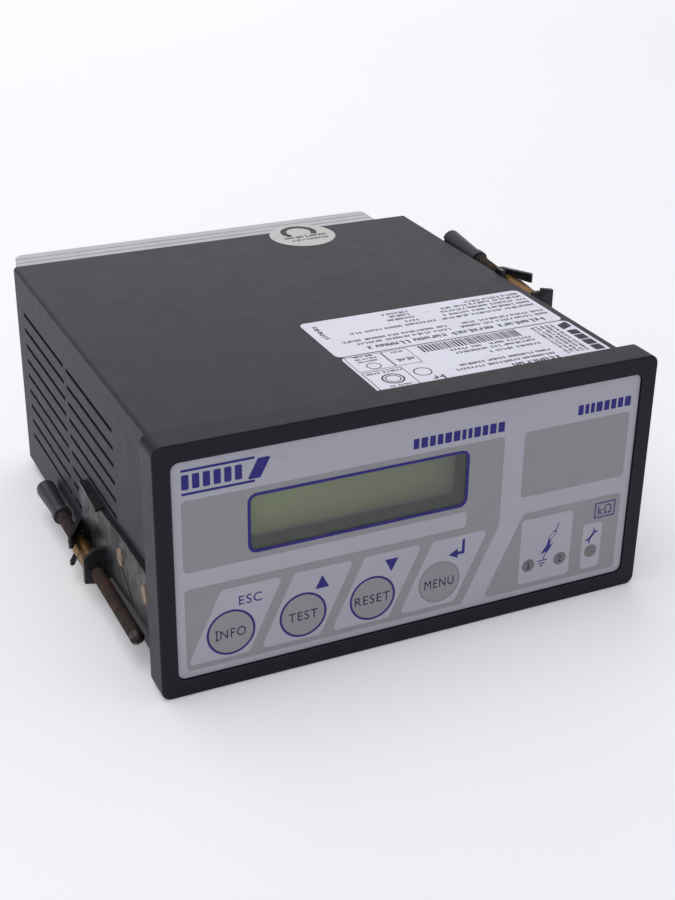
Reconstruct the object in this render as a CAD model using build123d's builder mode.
from build123d import *
import os

# Panel-mounting insulation resistance monitor with a 144 x 72 front and two screw clamps.
# Millimetres. The origin is the centre of the front frame's rear face, which seats on the panel.
# +X is to the right seen from the front, +Y runs to the rear and +Z is up.

# ---- driving dimensions -------------------------------------------------------------------

FRAME_WIDTH, FRAME_HEIGHT = 144.0, 72.0      # standard panel-instrument front
FRAME_DEPTH = 9.0
FRAME_CORNER = 2.6
FRAME_EDGE = 0.5
CUTOUT_WIDTH, CUTOUT_HEIGHT = 138.0, 68.0    # standard cut-out for that front
HOUSING_WIDTH = CUTOUT_WIDTH - 0.2
HOUSING_HEIGHT = CUTOUT_HEIGHT - 1.2
HOUSING_LENGTH = 134.3
HOUSING_CORNER = 1.2
WALL = 2.2
TOUCH = 0.1                                  # assembly gap between fitted plastic parts
FIT = 0.05                                   # gap round screws and other metal fits
RUNNING = 0.08                               # gap round what slides or turns
EDGE_ROUND = 0.8
EDGE_BEVEL = 0.5
SCREW_SLOT = 0.9
THREAD_DEPTH = 6.0

# front frame, seen from the front
FOIL_WIDTH, FOIL_HEIGHT = 134.5, 61.9
FOIL_CORNER = 2.0
FOIL_THICKNESS = 0.5
FOIL_RECESS = 0.75                           # how far the foil lies behind the frame's front
FOIL_GAP = 0.2
WEB_REAR = -5.25                             # y of the front web's rear face
SPIGOT_LENGTH = 5.0
SPIGOT_WALL = 2.1
BOSS_RADIUS = 3.0
BOSS_X, BOSS_Z = 60.5, (24.5, -9.0)

# display
WINDOW_LEFT, WINDOW_RIGHT = -47.75, 15.0
WINDOW_BOTTOM, WINDOW_TOP = 1.55, 18.55
WINDOW_CORNER = 2.6
WINDOW_LEDGE = 0.9
LCD_FRONT = -1.9                             # y of the glass's front face
LCD_GLASS = 1.8
LCD_BACK = 3.5
LCD_WIDTH, LCD_HEIGHT = 68.0, 22.0
SHEET_RIM = 0.3
BEZEL_RIM = 1.0

# keys
KEY_NAMES = ("info", "test", "reset", "menu")
KEY_FIRST_X, KEY_PITCH, KEY_Z = -52.75, 20.1, -20.25
KEY_RADIUS = 6.05
KEY_GAP = 0.1
KEY_CAP = 0.8
KEY_STEM_RADIUS = 2.5
KEY_STEM_END = 0.6
KEY_PIN_RADIUS = 1.7
KEY_PIN_END = 2.1
KEY_SEAT = 1.35                              # counterbore depth behind the foil's front
SWITCH_SIZE = 6.0
SWITCH_HEIGHT = 3.5
SWITCH_BORE_DEPTH = 1.6

# indicator lamps
LAMP_X = {"alarm_1": 35.85, "alarm_2": 46.1, "fault": 56.4}
LAMP_Z = -22.0
LAMP_RADIUS = 1.95
LAMP_GAP = 0.06
LAMP_FLANGE_RADIUS = 2.3
LAMP_FLANGE = 1.0
LAMP_END = -0.5
LEAD = 0.5
LEAD_SPACING = 1.27

# front circuit board
FRONT_BOARD_Y = 4.6
FRONT_BOARD_WIDTH, FRONT_BOARD_HEIGHT = 128.0, 57.0
BOARD = 1.6

# housing
VENT_ROWS, VENT_PITCH, VENT_HEIGHT = 9, 5.2, 1.4
VENT_TOP = 21.0
VENT_COLUMNS = ((34.0, 78.0), (81.0, 125.5))
RIB = 1.5
RIB_DEPTH = 2.5
RIB_START, RIB_END = 14.0, 122.0
REAR_PLATE = 2.2
PLATE_SCREWS = ((62.4, 26.0), (62.4, -26.0), (-62.4, 9.0), (-62.4, -9.0))
REAR_BOSS = 9.0
REAR_BOSS_LENGTH = 8.0

# terminals
POLES, POLE_PITCH = 15, 7.62
TERMINAL_X = -4.75                           # middle of both rows
BLOCK_BODY = (117.6, 13.5)                   # part inside the housing, x and z
BLOCK_BODY_START = 124.0
BLOCK_HEAD = (120.9, 17.1)                   # part behind the rear plate
BLOCK_HEAD_BOTTOM = 15.0
BLOCK_REAR = 143.4
POLE_Z = 24.0
CAGE = (5.2, 5.0, 6.0)
CAGE_BORE = (4.0, 3.2)
CAGE_Y = 137.7
TERMINAL_ACCESS_RADIUS = 2.3
COVER_WIDTH = 123.5
COVER_REAR = 144.7
COVER_BOTTOM = 14.5
COVER_WALL = 1.2
COVER_CORNER = 3.6
COVER_GROOVES = (137.2, 140.8)
COVER_ACCESS_RADIUS = 1.9

# screw clamps: u runs to the rear, v along the wall and w out from it
# side, bracket's shift in u and v, spindle's shift in u, and spindle's v and tilt at the ears
CLAMPS = {"left": (-1, 0.0, 0.0, 0.0, 27.6, 0.0), "right": (1, 5.2, 3.5, 7.5, 29.3, 4.1)}
CLAMP_SHEET = 1.3
CLAMP_STANDOFF = 0.1
AXIS_W = 72.3
AXIS_PIVOT_Y = 60.0                          # where a tilted spindle has its stated v
STUD_U = (7.6, 28.0)
STUD_V = 13.5
STUD_RADIUS = 1.5
STUD_HEAD_RADIUS = 2.5
STUD_HEAD = 0.35
STUD_FOOT_RADIUS = 2.2
STUD_FOOT = 0.8
EAR_FRONT_U, EAR_REAR_U = 45.0, 67.0
EAR_BOTTOM_V = 31.0
EAR_OUT = 76.1
CURL_BEND_W, CURL_BEND_RADIUS = 71.0, 1.2
CURL_END_U = 58.2
CURL_TOP_V = 21.4
NUT_U = (46.6, 66.0)
NUT_RADIUS = 2.8
SPINDLE_RADIUS = 1.95
EAR_HOLE_RADIUS = 2.25
TIP_U = 8.0
TIP_LENGTH = 3.0
TIP_POINT = 1.2
TIP_PIN_RADIUS = 1.1
TIP_PIN_DEPTH = 1.8
KNOB_U = (81.0, 100.8)
KNOB_FRONT_RADIUS, KNOB_NECK_RADIUS, KNOB_REAR_RADIUS = 2.85, 2.4, 3.05
KNOB_RING = 2.2
KNOB_SOCKET = 14.0
KNOB_SLOT = (1.1, 1.4)

# boards and parts inside the housing
MAIN_BOARD_Z = -26.0                         # underside of the main board
BOARD_START, BOARD_END = 9.0, 122.0
BOARD_HALF_WIDTH = 66.2
SPACER_XY = ((-50.0, 25.0), (50.0, 25.0), (-50.0, 108.0), (50.0, 108.0))
SPACER_FLATS = 6.0
SCREW_HEAD_RADIUS, SCREW_HEAD = 2.7, 1.9
SCREW_SHANK_RADIUS = 1.45
CORE = (42.0, 35.0, 35.0)
CORE_CENTRE = (-30.0, 78.0)
COIL = (26.0, 49.0, 22.0)
WINDOW_OF_CORE = (28.0, 24.0)
RELAY = (12.8, 29.0, 15.7)
RELAY_X = {"relay_alarm_1": 14.0, "relay_alarm_2": 32.0}
RELAY_Y = 103.0
CAPACITOR_RADIUS, CAPACITOR_HEIGHT = 7.5, 23.0
CAPACITOR_XY = ((6.0, 72.0), (24.0, 72.0), (42.0, 72.0))
RESISTOR_RADIUS, RESISTOR_LENGTH, RESISTOR_PITCH = 2.9, 22.0, 8.0
RESISTOR_CENTRE = (34.0, 74.0)
RESISTOR_COUNT = 6
CHIP = (14.0, 14.0, 1.8)
CHIP_CENTRE = (-6.0, 44.0)
SINK = (36.0, 14.0, 26.0)
SINK_CENTRE = (24.0, 46.0)
SINK_FINS = 7
SINK_SLOT = (3.2, 9.0)
REGULATOR = (10.0, 4.4, 15.0)
FUSE_RADIUS, FUSE_LENGTH = 2.6, 20.0
FUSE_CENTRE = (58.0, 80.0)
FUSE_BASE = (8.0, 26.0, 4.0)
PLUG = (27.0, 5.0, 7.0)                      # ribbon connectors
PLUG_X = -30.0
RIBBON_WIDTH, RIBBON = 25.0, 0.9
RIBBON_FRONT_Z = -8.0
RIBBON_DOWN_Y = 20.0
RIBBON_BEND = 4.0
LINK_Y = 31.0

# labels on the top of the housing: x from, x to, y from, y to
LABEL = 0.1
LABEL_CORNER = 2.0
DATA_LABEL = (-6.5, 65.8, 28.6, 55.0)
RATING_LABEL = (-6.0, 66.0, 0.3, 28.0)
STICKER_CENTRE, STICKER_RADIUS = (27.0, 128.0), 11.0

# ---- derived places -----------------------------------------------------------------------

FRAME_FRONT = -FRAME_DEPTH
FOIL_FRONT = FRAME_FRONT + FOIL_RECESS
FOIL_REAR = FOIL_FRONT + FOIL_THICKNESS
HOUSING_TOP = HOUSING_HEIGHT / 2
HOUSING_SIDE = HOUSING_WIDTH / 2
INNER_WIDTH, INNER_HEIGHT = HOUSING_WIDTH - 2 * WALL, HOUSING_HEIGHT - 2 * WALL
SPIGOT_WIDTH, SPIGOT_HEIGHT = INNER_WIDTH - 2 * TOUCH, INNER_HEIGHT - 2 * TOUCH
WINDOW_CENTRE = ((WINDOW_LEFT + WINDOW_RIGHT) / 2, (WINDOW_BOTTOM + WINDOW_TOP) / 2)
WINDOW_WIDTH, WINDOW_HEIGHT = WINDOW_RIGHT - WINDOW_LEFT, WINDOW_TOP - WINDOW_BOTTOM
VIEW_WIDTH, VIEW_HEIGHT = WINDOW_WIDTH - 2 * WINDOW_LEDGE, WINDOW_HEIGHT - 2 * WINDOW_LEDGE
KEY_PLACES = [(KEY_FIRST_X + KEY_PITCH * i, KEY_Z) for i in range(len(KEY_NAMES))]
LAMP_PLACES = [(x, LAMP_Z) for x in LAMP_X.values()]
BOSS_PLACES = [(side * BOSS_X, z) for side in (-1, 1) for z in BOSS_Z]
FRONT_BOARD_REAR = FRONT_BOARD_Y + BOARD
MAIN_TOP = MAIN_BOARD_Z + BOARD
UPPER_BOARD_Z = -MAIN_TOP                    # underside of the measuring board
UPPER_TOP = -MAIN_BOARD_Z
REAR_PLATE_Y = HOUSING_LENGTH - REAR_PLATE
BLOCK_BODY_CENTRE_Z = POLE_Z - 1.25
BLOCK_HEAD_CENTRE_Z = BLOCK_HEAD_BOTTOM + BLOCK_HEAD[1] / 2
COVER_HEIGHT = HOUSING_TOP - COVER_BOTTOM
POLE_X = [TERMINAL_X + POLE_PITCH * (i - (POLES - 1) / 2) for i in range(POLES)]
PLATE_IN = HOUSING_SIDE + CLAMP_STANDOFF     # w of the bracket's inner face
PLATE_OUT = PLATE_IN + CLAMP_SHEET


def facing(y):
    """Sketch plane that faces the front, at depth y; extruding by -t goes t to the rear."""
    return Plane.XZ.offset(-y)


def level(z):
    """Horizontal sketch plane at height z."""
    return Plane.XY.offset(z)


def clamp_planes(name):
    """Sketch planes of one clamp's bracket: on the wall (u, v), across it (w, u) and facing (w, v)."""
    side, shift_u, shift_v = CLAMPS[name][:3]
    out, along, rear = Vector(side, 0, 0), Vector(0, 0, side), Vector(0, 1, 0)
    origin = rear * shift_u + along * shift_v
    wall = Plane(origin=origin + out * PLATE_IN, x_dir=rear, z_dir=out)
    across = Plane(origin=origin, x_dir=out, z_dir=along)
    ahead = Plane(origin=origin, x_dir=out, z_dir=rear * -1)
    return wall, across, ahead


def axis_place(name, y):
    """Plane across a clamp's spindle, y behind the seat along it."""
    side, axis_v, tilt = CLAMPS[name][0], *CLAMPS[name][4:]
    rear = Vector(0, 1, 0).rotate(Axis.X, tilt)
    pivot = Vector(side * AXIS_W, AXIS_PIVOT_Y, side * axis_v)
    return Plane(origin=pivot + rear * (y - AXIS_PIVOT_Y), x_dir=(side, 0, 0), z_dir=rear)


pieces = {}

# ---- front frame and what it holds --------------------------------------------------------

with BuildPart() as front_frame:
    with BuildSketch(facing(FRAME_FRONT)):
        RectangleRounded(FRAME_WIDTH, FRAME_HEIGHT, FRAME_CORNER)
    extrude(amount=-FRAME_DEPTH)
    fillet(front_frame.faces().sort_by(Axis.Y)[0].edges(), FRAME_EDGE)
    with BuildSketch(facing(FRAME_FRONT)):
        RectangleRounded(FOIL_WIDTH + 2 * FOIL_GAP, FOIL_HEIGHT + 2 * FOIL_GAP, FOIL_CORNER + FOIL_GAP)
    extrude(amount=-(FOIL_RECESS + FOIL_THICKNESS), mode=Mode.SUBTRACT)
    with BuildSketch(facing(0)):
        Rectangle(SPIGOT_WIDTH, SPIGOT_HEIGHT)
    extrude(amount=-SPIGOT_LENGTH)
    with BuildSketch(facing(WEB_REAR)):
        Rectangle(SPIGOT_WIDTH - 2 * SPIGOT_WALL, SPIGOT_HEIGHT - 2 * SPIGOT_WALL)
    extrude(amount=-(SPIGOT_LENGTH - WEB_REAR), mode=Mode.SUBTRACT)
    with BuildSketch(facing(WEB_REAR)):
        with Locations(WINDOW_CENTRE):
            Rectangle(VIEW_WIDTH + 2 * BEZEL_RIM, VIEW_HEIGHT + 2 * BEZEL_RIM)
    extrude(amount=-(LCD_FRONT - SHEET_RIM - WEB_REAR))
    with BuildSketch(facing(WEB_REAR)):
        with Locations(BOSS_PLACES):
            Circle(BOSS_RADIUS)
    extrude(amount=-(FRONT_BOARD_Y - WEB_REAR))
    with BuildSketch(facing(FOIL_REAR)):
        with Locations(WINDOW_CENTRE):
            Rectangle(VIEW_WIDTH, VIEW_HEIGHT)
    extrude(amount=-(LCD_FRONT - FOIL_REAR), mode=Mode.SUBTRACT)
    with BuildSketch(facing(FOIL_REAR)):
        with Locations(KEY_PLACES):
            Circle(KEY_RADIUS + KEY_GAP)
    extrude(amount=-(KEY_SEAT - FOIL_THICKNESS), mode=Mode.SUBTRACT)
    with BuildSketch(facing(FOIL_REAR)):
        with Locations(KEY_PLACES):
            Circle(KEY_STEM_RADIUS + RUNNING)
        with Locations(LAMP_PLACES):
            Circle(LAMP_RADIUS + LAMP_GAP)
    extrude(amount=-(WEB_REAR - FOIL_REAR), mode=Mode.SUBTRACT)
    with BuildSketch(facing(FRONT_BOARD_Y)):
        with Locations(BOSS_PLACES):
            Circle(SCREW_SHANK_RADIUS + FIT)
    extrude(amount=THREAD_DEPTH, mode=Mode.SUBTRACT)
pieces["front_frame"] = front_frame

with BuildPart() as front_foil:
    with BuildSketch(facing(FOIL_FRONT)):
        RectangleRounded(FOIL_WIDTH, FOIL_HEIGHT, FOIL_CORNER)
        with Locations(WINDOW_CENTRE):
            RectangleRounded(
                WINDOW_WIDTH + TOUCH, WINDOW_HEIGHT + TOUCH, WINDOW_CORNER + TOUCH / 2, mode=Mode.SUBTRACT
            )
        with Locations(KEY_PLACES):
            Circle(KEY_RADIUS + KEY_GAP, mode=Mode.SUBTRACT)
        with Locations(LAMP_PLACES):
            Circle(LAMP_RADIUS + LAMP_GAP, mode=Mode.SUBTRACT)
    extrude(amount=-FOIL_THICKNESS)
pieces["front_foil"] = front_foil

with BuildPart() as display_window:
    with BuildSketch(facing(FOIL_FRONT)):
        with Locations(WINDOW_CENTRE):
            RectangleRounded(WINDOW_WIDTH, WINDOW_HEIGHT, WINDOW_CORNER)
    extrude(amount=-FOIL_THICKNESS)
pieces["display_window"] = display_window

for name, place in zip(KEY_NAMES, KEY_PLACES):
    with BuildPart() as key:
        for start, end, radius in (
            (FOIL_FRONT, FOIL_FRONT + KEY_CAP, KEY_RADIUS),
            (FOIL_FRONT + KEY_CAP, KEY_STEM_END, KEY_STEM_RADIUS),
            (KEY_STEM_END, KEY_PIN_END, KEY_PIN_RADIUS),
        ):
            with BuildSketch(facing(start)):
                with Locations(place):
                    Circle(radius)
            extrude(amount=start - end)
    pieces[f"key_{name}"] = key

with BuildPart() as key_switches:
    with BuildSketch(facing(FRONT_BOARD_Y - SWITCH_HEIGHT)):
        with Locations(KEY_PLACES):
            Rectangle(SWITCH_SIZE, SWITCH_SIZE)
    extrude(amount=-SWITCH_HEIGHT)
    with BuildSketch(facing(FRONT_BOARD_Y - SWITCH_HEIGHT)):
        with Locations(KEY_PLACES):
            Circle(KEY_PIN_RADIUS + RUNNING)
    extrude(amount=-SWITCH_BORE_DEPTH, mode=Mode.SUBTRACT)
pieces["key_switches"] = key_switches

with BuildPart() as lcd_glass:
    with BuildSketch(facing(LCD_FRONT)):
        with Locations(WINDOW_CENTRE):
            Rectangle(LCD_WIDTH, LCD_HEIGHT)
    extrude(amount=-LCD_GLASS)
pieces["lcd_glass"] = lcd_glass

with BuildPart() as lcd_diffuser:
    with BuildSketch(facing(LCD_FRONT + LCD_GLASS)):
        with Locations(WINDOW_CENTRE):
            Rectangle(LCD_WIDTH, LCD_HEIGHT)
    extrude(amount=-LCD_BACK)
pieces["lcd_diffuser"] = lcd_diffuser

with BuildPart() as lcd_frame:
    with BuildSketch(facing(LCD_FRONT - SHEET_RIM)):
        with Locations(WINDOW_CENTRE):
            Rectangle(LCD_WIDTH + 2 * BEZEL_RIM, LCD_HEIGHT + 2 * BEZEL_RIM)
            Rectangle(VIEW_WIDTH + BEZEL_RIM, VIEW_HEIGHT + BEZEL_RIM, mode=Mode.SUBTRACT)
    extrude(amount=-(FRONT_BOARD_Y - LCD_FRONT + SHEET_RIM))
    with BuildSketch(facing(LCD_FRONT)):
        with Locations(WINDOW_CENTRE):
            Rectangle(LCD_WIDTH + TOUCH, LCD_HEIGHT + TOUCH)
    extrude(amount=-(FRONT_BOARD_Y - LCD_FRONT), mode=Mode.SUBTRACT)
pieces["lcd_frame"] = lcd_frame

with BuildPart() as front_board:
    with BuildSketch(facing(FRONT_BOARD_Y)):
        Rectangle(FRONT_BOARD_WIDTH, FRONT_BOARD_HEIGHT)
        with Locations(BOSS_PLACES):
            Circle(SCREW_SHANK_RADIUS + TOUCH, mode=Mode.SUBTRACT)
    extrude(amount=-BOARD)
pieces["front_board"] = front_board

with BuildPart() as front_board_screws:
    with BuildSketch(facing(FRONT_BOARD_REAR)):
        with Locations(BOSS_PLACES):
            Circle(SCREW_SHANK_RADIUS)
    extrude(amount=BOARD + SWITCH_HEIGHT)
    with BuildSketch(facing(FRONT_BOARD_REAR)):
        with Locations(BOSS_PLACES):
            Circle(SCREW_HEAD_RADIUS)
    extrude(amount=-SCREW_HEAD)
    with BuildSketch(facing(FRONT_BOARD_REAR + SCREW_HEAD)):
        with Locations(BOSS_PLACES):
            Rectangle(2 * SCREW_HEAD_RADIUS, SCREW_SLOT)
            Rectangle(SCREW_SLOT, 2 * SCREW_HEAD_RADIUS)
    extrude(amount=SCREW_HEAD / 2, mode=Mode.SUBTRACT)
pieces["front_board_screws"] = front_board_screws

for name, x in LAMP_X.items():
    with BuildPart() as lamp:
        with BuildSketch(facing(FOIL_FRONT)):
            with Locations((x, LAMP_Z)):
                Circle(LAMP_RADIUS)
        extrude(amount=FOIL_FRONT - LAMP_END)
        with BuildSketch(facing(WEB_REAR + TOUCH)):
            with Locations((x, LAMP_Z)):
                Circle(LAMP_FLANGE_RADIUS)
        extrude(amount=-LAMP_FLANGE)
        with BuildSketch(facing(LAMP_END)):
            with Locations((x - LEAD_SPACING, LAMP_Z), (x + LEAD_SPACING, LAMP_Z)):
                Rectangle(LEAD, LEAD)
        extrude(amount=LAMP_END - FRONT_BOARD_Y)
    pieces[f"lamp_{name}"] = lamp

# ---- housing ------------------------------------------------------------------------------

with BuildPart() as housing_shell:
    with BuildSketch(facing(0)):
        RectangleRounded(HOUSING_WIDTH, HOUSING_HEIGHT, HOUSING_CORNER)
        Rectangle(INNER_WIDTH, INNER_HEIGHT, mode=Mode.SUBTRACT)
    extrude(amount=-HOUSING_LENGTH)
    # two ribs on each side wall grip each board's edge
    with BuildSketch(facing(RIB_START)):
        for board_middle in (MAIN_BOARD_Z + BOARD / 2, UPPER_BOARD_Z + BOARD / 2):
            for offset_z in (-1, 1):
                rib_z = board_middle + offset_z * (BOARD / 2 + TOUCH + RIB / 2)
                for side in (-1, 1):
                    with Locations((side * (INNER_WIDTH - RIB_DEPTH) / 2, rib_z)):
                        Rectangle(RIB_DEPTH, RIB)
    extrude(amount=RIB_START - RIB_END)
    with BuildSketch(facing(REAR_PLATE_Y - REAR_BOSS_LENGTH)):
        for x, z in PLATE_SCREWS:
            with Locations((x, z)):
                Rectangle(REAR_BOSS, REAR_BOSS)
    extrude(amount=-REAR_BOSS_LENGTH)
    with BuildSketch(facing(REAR_PLATE_Y)):
        with Locations(PLATE_SCREWS):
            Circle(SCREW_SHANK_RADIUS + FIT)
    extrude(amount=THREAD_DEPTH, mode=Mode.SUBTRACT)
    # cooling slots in both side walls
    with BuildSketch(Plane.YZ.offset(-HOUSING_SIDE)):
        for row in range(VENT_ROWS):
            for start, end in VENT_COLUMNS:
                with Locations(((start + end) / 2, VENT_TOP - VENT_PITCH * row)):
                    RectangleRounded(end - start, VENT_HEIGHT, VENT_HEIGHT / 4)
    extrude(amount=WALL, mode=Mode.SUBTRACT)
    with BuildSketch(Plane.YZ.offset(HOUSING_SIDE)):
        for row in range(VENT_ROWS):
            for start, end in VENT_COLUMNS:
                with Locations(((start + end) / 2, VENT_TOP - VENT_PITCH * row)):
                    RectangleRounded(end - start, VENT_HEIGHT, VENT_HEIGHT / 4)
    extrude(amount=-WALL, mode=Mode.SUBTRACT)
    for name in CLAMPS:
        with BuildSketch(clamp_planes(name)[0]):
            with Locations([(u, STUD_V) for u in STUD_U]):
                Circle(STUD_RADIUS)
        extrude(amount=-(WALL + CLAMP_STANDOFF), mode=Mode.SUBTRACT)
pieces["housing_shell"] = housing_shell

with BuildPart() as rear_plate:
    with BuildSketch(facing(REAR_PLATE_Y)):
        Rectangle(INNER_WIDTH - TOUCH, INNER_HEIGHT - TOUCH)
        for row in (-1, 1):
            with Locations((TERMINAL_X, row * BLOCK_BODY_CENTRE_Z)):
                Rectangle(BLOCK_BODY[0] + TOUCH, BLOCK_BODY[1] + TOUCH, mode=Mode.SUBTRACT)
        with Locations(PLATE_SCREWS):
            Circle(SCREW_SHANK_RADIUS + TOUCH, mode=Mode.SUBTRACT)
        # row of cooling slots between the terminal rows
        with GridLocations(VENT_PITCH, 0, VENT_ROWS, 1):
            RectangleRounded(VENT_HEIGHT, 2 * REAR_BOSS, VENT_HEIGHT / 4, mode=Mode.SUBTRACT)
    extrude(amount=-REAR_PLATE)
pieces["rear_plate"] = rear_plate

with BuildPart() as rear_plate_screws:
    with BuildSketch(facing(HOUSING_LENGTH)):
        with Locations(PLATE_SCREWS):
            Circle(SCREW_SHANK_RADIUS)
    extrude(amount=REAR_PLATE + THREAD_DEPTH - TOUCH)
    with BuildSketch(facing(HOUSING_LENGTH)):
        with Locations(PLATE_SCREWS):
            Circle(SCREW_HEAD_RADIUS)
    extrude(amount=-SCREW_HEAD)
    with BuildSketch(facing(HOUSING_LENGTH + SCREW_HEAD)):
        with Locations(PLATE_SCREWS):
            Rectangle(2 * SCREW_HEAD_RADIUS, SCREW_SLOT)
            Rectangle(SCREW_SLOT, 2 * SCREW_HEAD_RADIUS)
    extrude(amount=SCREW_HEAD / 2, mode=Mode.SUBTRACT)
pieces["rear_plate_screws"] = rear_plate_screws

# ---- terminals: the lower row is the upper one turned over --------------------------------

for name, row in (("upper", 1), ("lower", -1)):
    with BuildPart() as terminal_block:
        with BuildSketch(facing(BLOCK_BODY_START)):
            with Locations((TERMINAL_X, row * BLOCK_BODY_CENTRE_Z)):
                Rectangle(*BLOCK_BODY)
        extrude(amount=BLOCK_BODY_START - HOUSING_LENGTH)
        with BuildSketch(facing(HOUSING_LENGTH)):
            with Locations((TERMINAL_X, row * BLOCK_HEAD_CENTRE_Z)):
                Rectangle(*BLOCK_HEAD)
        extrude(amount=HOUSING_LENGTH - BLOCK_REAR)
        # one pocket for each clamping cage, open towards the wire, and a screw shaft from the rear
        pocket_top = POLE_Z + CAGE[2] / 2 + TOUCH
        with BuildSketch(facing(CAGE_Y - CAGE[1] / 2 - TOUCH)):
            for x in POLE_X:
                with Locations((x, row * (BLOCK_HEAD_BOTTOM + pocket_top) / 2)):
                    Rectangle(CAGE[0] + 2 * TOUCH, pocket_top - BLOCK_HEAD_BOTTOM)
        extrude(amount=-(CAGE[1] + 2 * TOUCH), mode=Mode.SUBTRACT)
        with BuildSketch(facing(BLOCK_REAR)):
            for x in POLE_X:
                with Locations((x, row * POLE_Z)):
                    Circle(TERMINAL_ACCESS_RADIUS)
        extrude(amount=BLOCK_REAR - CAGE_Y, mode=Mode.SUBTRACT)
    pieces[f"terminal_block_{name}"] = terminal_block

    with BuildPart() as terminal_cover:
        with BuildSketch(level(row * HOUSING_TOP)):
            with Locations((TERMINAL_X, (HOUSING_LENGTH + TOUCH + COVER_REAR) / 2)):
                Rectangle(COVER_WIDTH, COVER_REAR - HOUSING_LENGTH - TOUCH)
        extrude(amount=-row * COVER_HEIGHT)
        rear_edges = terminal_cover.edges().filter_by(Axis.Z).group_by(Axis.Y)[-1]
        fillet(rear_edges.sort_by(Axis.X)[0], COVER_CORNER)
        chamfer(terminal_cover.edges().filter_by(Axis.Z).sort_by(Axis.X)[-1], COVER_WALL)
        with BuildSketch(facing(HOUSING_LENGTH)):
            inner_height = COVER_HEIGHT - COVER_WALL
            with Locations((TERMINAL_X, row * (COVER_BOTTOM + inner_height / 2))):
                Rectangle(BLOCK_HEAD[0] + TOUCH, inner_height)
        extrude(amount=HOUSING_LENGTH - BLOCK_REAR - TOUCH, mode=Mode.SUBTRACT)
        with BuildSketch(level(row * HOUSING_TOP)):
            for groove_y in COVER_GROOVES:
                with Locations((TERMINAL_X, groove_y)):
                    Rectangle(COVER_WIDTH, EDGE_BEVEL)
        extrude(amount=-row * EDGE_BEVEL / 2, mode=Mode.SUBTRACT)
        with BuildSketch(facing(COVER_REAR)):
            for x in POLE_X:
                with Locations((x, row * POLE_Z)):
                    Circle(COVER_ACCESS_RADIUS)
        extrude(amount=COVER_WALL + TOUCH, mode=Mode.SUBTRACT)
    pieces[f"terminal_cover_{name}"] = terminal_cover

TERMINAL_POINTS = [(x, row * POLE_Z) for row in (1, -1) for x in POLE_X]

with BuildPart() as terminal_cages:
    with BuildSketch(facing(CAGE_Y - CAGE[1] / 2)):
        with Locations(TERMINAL_POINTS):
            Rectangle(CAGE[0], CAGE[2])
    extrude(amount=-CAGE[1])
    for row in (1, -1):
        with BuildSketch(level(row * (POLE_Z - CAGE[2] / 2))):
            with Locations([(x, CAGE_Y - (CAGE[1] - CAGE_BORE[1]) / 4) for x in POLE_X]):
                Rectangle(*CAGE_BORE)
        extrude(amount=row * CAGE[2], mode=Mode.SUBTRACT)
    with BuildSketch(facing(CAGE_Y + CAGE[1] / 2)):
        with Locations(TERMINAL_POINTS):
            Circle(SCREW_SHANK_RADIUS + FIT)
    extrude(amount=CAGE[1] / 2, mode=Mode.SUBTRACT)
pieces["terminal_cages"] = terminal_cages

with BuildPart() as terminal_screws:
    with BuildSketch(facing(CAGE_Y + CAGE[1] / 2)):
        with Locations(TERMINAL_POINTS):
            Circle(SCREW_SHANK_RADIUS)
    extrude(amount=CAGE[1] / 2)
    with BuildSketch(facing(CAGE_Y + CAGE[1] / 2)):
        with Locations(TERMINAL_POINTS):
            Circle(TERMINAL_ACCESS_RADIUS - TOUCH)
    extrude(amount=-SCREW_HEAD)
    with BuildSketch(facing(CAGE_Y + CAGE[1] / 2 + SCREW_HEAD)):
        with Locations(TERMINAL_POINTS):
            Rectangle(2 * TERMINAL_ACCESS_RADIUS, SCREW_SLOT)
    extrude(amount=SCREW_HEAD / 2, mode=Mode.SUBTRACT)
pieces["terminal_screws"] = terminal_screws

# ---- screw clamps -------------------------------------------------------------------------

PLATE_OUTLINE = (
    (2.5, 6.4), (24.4, 6.4), (45.3, 8.0), (64.6, 9.8), (67.9, 12.6), (64.9, 16.5), (65.6, CURL_TOP_V),
    (EAR_REAR_U + CLAMP_SHEET / 2, CURL_TOP_V), (EAR_REAR_U + CLAMP_SHEET / 2, EAR_BOTTOM_V),
    (63.6, EAR_BOTTOM_V), (63.0, 25.0), (60.0, 20.6), (57.2, 21.6), (55.6, 25.6), (31.3, 25.1),
    (15.9, 23.8), (8.0, 23.8), (2.5, 20.0),
)
PLATE_CORNER = 0.5
SLIT = ((26.4, 16.2), (18.2, 23.0))
SLIT_WIDTH = 1.0
LIP = ((46.0, 8.05), (64.0, 9.75))
LIP_OUT = (1.4, 0.7)
LIP_SHEET = 1.1
EAR_ROOT_V = 19.9
EAR_STEP_W, EAR_NOTCH_W = 73.0, 72.1
EAR_NOTCH_V = 30.2
NUT_SLOT = 4.4                               # height of the slot that lets the nut into the rear ear
EAR_TIP_V = 22.5

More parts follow.
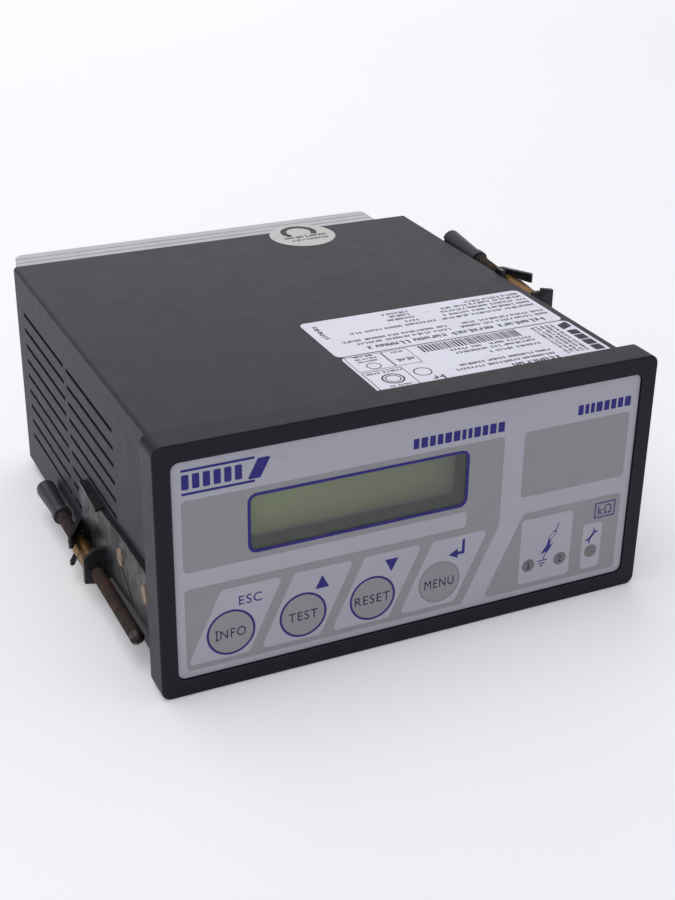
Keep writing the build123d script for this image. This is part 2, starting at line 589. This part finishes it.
for name in CLAMPS:
    wall, across, ahead = clamp_planes(name)
    nut_y = NUT_U[0] + CLAMPS[name][1]
    tip_y = TIP_U + CLAMPS[name][3]
    knob_y = KNOB_U[0] + CLAMPS[name][3]
    knob_end = KNOB_U[1] + CLAMPS[name][3]
    with BuildPart() as bracket:
        with BuildSketch(wall):
            with BuildLine():
                Polyline(*PLATE_OUTLINE, close=True)
            make_face()
            fillet(vertices(), PLATE_CORNER)
        extrude(amount=CLAMP_SHEET)
        # front ear, square to the spindle
        with BuildSketch(ahead.offset(-EAR_FRONT_U)):
            with BuildLine():
                Polyline(
                    (PLATE_IN, EAR_ROOT_V), (EAR_STEP_W, EAR_ROOT_V), (EAR_OUT, EAR_TIP_V),
                    (EAR_OUT, EAR_NOTCH_V), (EAR_NOTCH_W, EAR_BOTTOM_V), (EAR_NOTCH_W, EAR_NOTCH_V),
                    (PLATE_IN, EAR_NOTCH_V), close=True,
                )
            make_face()
        extrude(amount=-CLAMP_SHEET)
        # rear ear, bent forward and outward round the nut
        with BuildSketch(across.offset(CURL_TOP_V)):
            with BuildLine():
                FilletPolyline(
                    (PLATE_IN + CLAMP_SHEET / 2, EAR_REAR_U), (CURL_BEND_W, EAR_REAR_U),
                    (EAR_OUT, CURL_END_U), radius=CURL_BEND_RADIUS,
                )
                offset(amount=CLAMP_SHEET / 2, kind=Kind.INTERSECTION)
            make_face()
        extrude(amount=EAR_BOTTOM_V - CURL_TOP_V)
        # stiffening lip along the upper rear edge, narrowing to the rear
        with BuildSketch(across.offset(LIP[0][1] - LIP_SHEET / 2)):
            with BuildLine():
                Polyline(
                    (PLATE_IN, LIP[0][0]), (PLATE_OUT + LIP_OUT[0], LIP[0][0]),
                    (PLATE_OUT + LIP_OUT[1], LIP[1][0]), (PLATE_IN, LIP[1][0]), close=True,
                )
            make_face()
        extrude(amount=LIP_SHEET)
        # holes for the studs, the slit below the rear stud, the nut and the spindle
        with BuildSketch(wall):
            with Locations([(u, STUD_V) for u in STUD_U]):
                Circle(STUD_RADIUS + TOUCH)
            with BuildLine():
                Line(*SLIT)
            trace(line_width=SLIT_WIDTH)
        extrude(amount=CLAMP_SHEET, mode=Mode.SUBTRACT)
        with BuildSketch(axis_place(name, nut_y)):
            Circle(EAR_HOLE_RADIUS)
        extrude(amount=-2 * CLAMP_SHEET, mode=Mode.SUBTRACT)
        with BuildSketch(axis_place(name, nut_y - FIT)):
            Circle(NUT_RADIUS + FIT)
            Rectangle(EAR_OUT - PLATE_IN, NUT_SLOT, align=(Align.MIN, Align.CENTER))
        extrude(amount=EAR_REAR_U - NUT_U[0] + CLAMP_SHEET, mode=Mode.SUBTRACT)
    pieces[f"clamp_bracket_{name}"] = bracket

    with BuildPart() as nut:
        with BuildSketch(axis_place(name, nut_y)):
            Circle(NUT_RADIUS)
            Circle(SPINDLE_RADIUS + RUNNING, mode=Mode.SUBTRACT)
        extrude(amount=NUT_U[1] - NUT_U[0])
    pieces[f"clamp_nut_{name}"] = nut

    # pressure tip that slides with the spindle but does not turn
    with BuildPart() as tip:
        with BuildSketch(axis_place(name, tip_y)):
            Circle(SPINDLE_RADIUS)
        extrude(amount=TIP_LENGTH)
        chamfer(tip.faces().sort_by(Axis.Y)[0].edges(), TIP_POINT)
        with BuildSketch(axis_place(name, tip_y + TIP_LENGTH)):
            Circle(TIP_PIN_RADIUS + RUNNING)
        extrude(amount=-TIP_PIN_DEPTH, mode=Mode.SUBTRACT)
    pieces[f"clamp_tip_{name}"] = tip

    with BuildPart() as spindle:
        with BuildSketch(axis_place(name, tip_y + TIP_LENGTH + FIT)):
            Circle(SPINDLE_RADIUS)
        extrude(amount=KNOB_U[0] + KNOB_SOCKET - TIP_U - TIP_LENGTH - 2 * FIT)
        with BuildSketch(axis_place(name, tip_y + TIP_LENGTH + FIT)):
            Circle(TIP_PIN_RADIUS)
        extrude(amount=-(TIP_PIN_DEPTH - TOUCH))
    pieces[f"clamp_spindle_{name}"] = spindle

    with BuildPart() as knob:
        with BuildSketch(axis_place(name, knob_y)):
            Circle(KNOB_FRONT_RADIUS)
        extrude(amount=KNOB_RING)
        with BuildSketch(axis_place(name, knob_y + KNOB_RING)):
            Circle(KNOB_NECK_RADIUS)
        with BuildSketch(axis_place(name, knob_end)):
            Circle(KNOB_REAR_RADIUS)
        loft()
        fillet(knob.faces().sort_by(Axis.Y)[-1].edges(), EDGE_ROUND)
        with BuildSketch(axis_place(name, knob_y)):
            Circle(SPINDLE_RADIUS + FIT)
        extrude(amount=KNOB_SOCKET, mode=Mode.SUBTRACT)
        with BuildSketch(axis_place(name, knob_end)):
            Rectangle(2 * KNOB_REAR_RADIUS, KNOB_SLOT[0])
        extrude(amount=-KNOB_SLOT[1], mode=Mode.SUBTRACT)
    pieces[f"clamp_knob_{name}"] = knob

with BuildPart() as clamp_studs:
    for name in CLAMPS:
        wall = clamp_planes(name)[0]
        spots = [(u, STUD_V) for u in STUD_U]
        shank_depth = WALL + CLAMP_STANDOFF
        with BuildSketch(wall.offset(CLAMP_SHEET)):
            with Locations(spots):
                Circle(STUD_HEAD_RADIUS)
        extrude(amount=STUD_HEAD, taper=8)
        with BuildSketch(wall.offset(CLAMP_SHEET)):
            with Locations(spots):
                Circle(STUD_RADIUS)
        extrude(amount=-(CLAMP_SHEET + shank_depth))
        with BuildSketch(wall.offset(-shank_depth)):
            with Locations(spots):
                Circle(STUD_FOOT_RADIUS)
        extrude(amount=-STUD_FOOT)
pieces["clamp_studs"] = clamp_studs

# ---- boards and components ----------------------------------------------------------------

for name, board_z in (("main_board", MAIN_BOARD_Z), ("measuring_board", UPPER_BOARD_Z)):
    with BuildPart() as board:
        with BuildSketch(level(board_z)):
            with Locations((0, (BOARD_START + BOARD_END) / 2)):
                Rectangle(2 * BOARD_HALF_WIDTH, BOARD_END - BOARD_START)
            with Locations(SPACER_XY):
                Circle(SCREW_SHANK_RADIUS + TOUCH, mode=Mode.SUBTRACT)
        extrude(amount=BOARD)
    pieces[name] = board

with BuildPart() as board_spacers:
    with BuildSketch(level(MAIN_TOP)):
        with Locations(SPACER_XY):
            RegularPolygon(SPACER_FLATS / 2, 6, major_radius=False)
    extrude(amount=UPPER_BOARD_Z - MAIN_TOP)
    for face_z, direction in ((MAIN_TOP, 1), (UPPER_BOARD_Z, -1)):
        with BuildSketch(level(face_z)):
            with Locations(SPACER_XY):
                Circle(SCREW_SHANK_RADIUS + FIT)
        extrude(amount=direction * THREAD_DEPTH, mode=Mode.SUBTRACT)
pieces["board_spacers"] = board_spacers

with BuildPart() as board_screws:
    for face_z, direction in ((MAIN_BOARD_Z, 1), (UPPER_TOP, -1)):
        with BuildSketch(level(face_z)):
            with Locations(SPACER_XY):
                Circle(SCREW_SHANK_RADIUS)
        extrude(amount=direction * (BOARD + THREAD_DEPTH - TOUCH))
        with BuildSketch(level(face_z)):
            with Locations(SPACER_XY):
                Circle(SCREW_HEAD_RADIUS)
        extrude(amount=-direction * SCREW_HEAD)
        with BuildSketch(level(face_z - direction * SCREW_HEAD)):
            with Locations(SPACER_XY):
                Rectangle(2 * SCREW_HEAD_RADIUS, SCREW_SLOT)
                Rectangle(SCREW_SLOT, 2 * SCREW_HEAD_RADIUS)
        extrude(amount=direction * SCREW_HEAD / 2, mode=Mode.SUBTRACT)
pieces["board_screws"] = board_screws

with BuildPart() as transformer_core:
    with BuildSketch(Plane.YZ.offset(CORE_CENTRE[0] - CORE[0] / 2)):
        with Locations((CORE_CENTRE[1], MAIN_TOP + CORE[2] / 2)):
            Rectangle(CORE[1], CORE[2])
    extrude(amount=CORE[0])
    with BuildSketch(facing(CORE_CENTRE[1] - CORE[1] / 2)):
        with Locations((CORE_CENTRE[0], MAIN_TOP + CORE[2] / 2)):
            Rectangle(*WINDOW_OF_CORE)
            Rectangle(WINDOW_OF_CORE[0] / 3, WINDOW_OF_CORE[1], mode=Mode.SUBTRACT)
    extrude(amount=-CORE[1], mode=Mode.SUBTRACT)
pieces["transformer_core"] = transformer_core

with BuildPart() as transformer_coil:
    with BuildSketch(level(MAIN_TOP + CORE[2] / 2 - COIL[2] / 2)):
        with Locations(CORE_CENTRE):
            RectangleRounded(COIL[0], COIL[1], BOSS_RADIUS)
            Rectangle(WINDOW_OF_CORE[0] / 3 + 2 * TOUCH, CORE[1] + 2 * TOUCH, mode=Mode.SUBTRACT)
    extrude(amount=COIL[2])
pieces["transformer_coil"] = transformer_coil

for name, x in RELAY_X.items():
    with BuildPart() as relay:
        with BuildSketch(level(MAIN_TOP)):
            with Locations((x, RELAY_Y)):
                Rectangle(RELAY[0], RELAY[1])
        extrude(amount=RELAY[2])
        chamfer(relay.faces().sort_by(Axis.Z)[-1].edges(), EDGE_BEVEL)
    pieces[name] = relay

with BuildPart() as smoothing_capacitors:
    with BuildSketch(level(MAIN_TOP)):
        with Locations(CAPACITOR_XY):
            Circle(CAPACITOR_RADIUS)
    extrude(amount=CAPACITOR_HEIGHT)
    fillet(smoothing_capacitors.faces().group_by(Axis.Z)[-1].edges(), EDGE_ROUND)
pieces["smoothing_capacitors"] = smoothing_capacitors

with BuildPart() as coupling_resistors:
    with BuildSketch(Plane.YZ.offset(RESISTOR_CENTRE[0] - RESISTOR_LENGTH / 2)):
        with Locations((RESISTOR_CENTRE[1], UPPER_BOARD_Z - RESISTOR_RADIUS - TOUCH)):
            with GridLocations(RESISTOR_PITCH, 0, RESISTOR_COUNT, 1):
                Circle(RESISTOR_RADIUS)
    extrude(amount=RESISTOR_LENGTH)
pieces["coupling_resistors"] = coupling_resistors

with BuildPart() as processor_chip:
    with BuildSketch(level(UPPER_BOARD_Z)):
        with Locations(CHIP_CENTRE):
            Rectangle(CHIP[0], CHIP[1])
    extrude(amount=-CHIP[2])
    chamfer(processor_chip.edges().filter_by(Axis.Z)[0], EDGE_BEVEL)
pieces["processor_chip"] = processor_chip

with BuildPart() as heat_sink:
    with BuildSketch(level(MAIN_TOP)):
        with Locations(SINK_CENTRE):
            Rectangle(SINK[0], SINK[1])
        with Locations((SINK_CENTRE[0], SINK_CENTRE[1] + (SINK[1] - SINK_SLOT[1]) / 2)):
            with GridLocations(SINK[0] / SINK_FINS, 0, SINK_FINS - 1, 1):
                Rectangle(*SINK_SLOT, mode=Mode.SUBTRACT)
    extrude(amount=SINK[2])
pieces["heat_sink"] = heat_sink

with BuildPart() as regulator:
    with BuildSketch(level(MAIN_TOP + EDGE_BEVEL)):
        with Locations((SINK_CENTRE[0], SINK_CENTRE[1] - (SINK[1] + REGULATOR[1]) / 2)):
            Rectangle(REGULATOR[0], REGULATOR[1])
    extrude(amount=REGULATOR[2])
pieces["regulator"] = regulator

with BuildPart() as fuse_holder:
    with BuildSketch(level(MAIN_TOP)):
        with Locations(FUSE_CENTRE):
            Rectangle(FUSE_BASE[0], FUSE_BASE[1])
    extrude(amount=FUSE_BASE[2] + FUSE_RADIUS)
    with BuildSketch(facing(FUSE_CENTRE[1] - FUSE_LENGTH / 2 - TOUCH)):
        with Locations((FUSE_CENTRE[0], MAIN_TOP + FUSE_BASE[2] + FUSE_RADIUS)):
            Circle(FUSE_RADIUS + TOUCH)
    extrude(amount=-(FUSE_LENGTH + 2 * TOUCH), mode=Mode.SUBTRACT)
pieces["fuse_holder"] = fuse_holder

with BuildPart() as fuse:
    with BuildSketch(facing(FUSE_CENTRE[1] - FUSE_LENGTH / 2)):
        with Locations((FUSE_CENTRE[0], MAIN_TOP + FUSE_BASE[2] + FUSE_RADIUS)):
            Circle(FUSE_RADIUS)
    extrude(amount=-FUSE_LENGTH)
pieces["fuse"] = fuse

with BuildPart() as ribbon_plugs:
    # one on the front board, one for it on the main board, and the pair of the link ribbon
    with BuildSketch(facing(FRONT_BOARD_REAR)):
        with Locations((PLUG_X, RIBBON_FRONT_Z)):
            Rectangle(PLUG[0], PLUG[1])
    extrude(amount=-PLUG[1])
    for plug_y in (RIBBON_DOWN_Y, LINK_Y):
        with BuildSketch(level(MAIN_TOP)):
            with Locations((PLUG_X, plug_y)):
                Rectangle(PLUG[0], PLUG[1])
        extrude(amount=PLUG[2])
    with BuildSketch(level(UPPER_BOARD_Z)):
        with Locations((PLUG_X, LINK_Y)):
            Rectangle(PLUG[0], PLUG[1])
    extrude(amount=-PLUG[2])
pieces["ribbon_plugs"] = ribbon_plugs

with BuildPart() as ribbon_cable:
    with BuildSketch(Plane.YZ.offset(PLUG_X - RIBBON_WIDTH / 2)):
        with BuildLine():
            Polyline(
                (FRONT_BOARD_REAR + PLUG[1], RIBBON_FRONT_Z), (RIBBON_DOWN_Y, RIBBON_FRONT_Z),
                (RIBBON_DOWN_Y, MAIN_TOP + PLUG[2]),
            )
            fillet(vertices().sort_by(Axis.X)[-2:].sort_by(Axis.Y)[-1:], RIBBON_BEND)
        trace(line_width=RIBBON)
    extrude(amount=RIBBON_WIDTH)
pieces["ribbon_cable"] = ribbon_cable

with BuildPart() as link_ribbon:
    with BuildSketch(level(MAIN_TOP + PLUG[2])):
        with Locations((PLUG_X, LINK_Y)):
            Rectangle(RIBBON_WIDTH, RIBBON)
    extrude(amount=UPPER_BOARD_Z - MAIN_TOP - 2 * PLUG[2])
pieces["link_ribbon"] = link_ribbon

# ---- labels -------------------------------------------------------------------------------

for name, (left, right, front, rear) in (("data_label", DATA_LABEL), ("rating_label", RATING_LABEL)):
    with BuildPart() as label:
        with BuildSketch(level(HOUSING_TOP)):
            with Locations(((left + right) / 2, (front + rear) / 2)):
                RectangleRounded(right - left, rear - front, LABEL_CORNER)
        extrude(amount=LABEL)
    pieces[name] = label

with BuildPart() as round_sticker:
    with BuildSketch(level(HOUSING_TOP)):
        with Locations(STICKER_CENTRE):
            Circle(STICKER_RADIUS)
    extrude(amount=LABEL)
pieces["round_sticker"] = round_sticker

# ---- one STEP file for each piece ---------------------------------------------------------

os.makedirs("parts", exist_ok=True)
for name, piece in pieces.items():
    piece.part.label = name
    export_step(piece.part, f"parts/{name}.step")
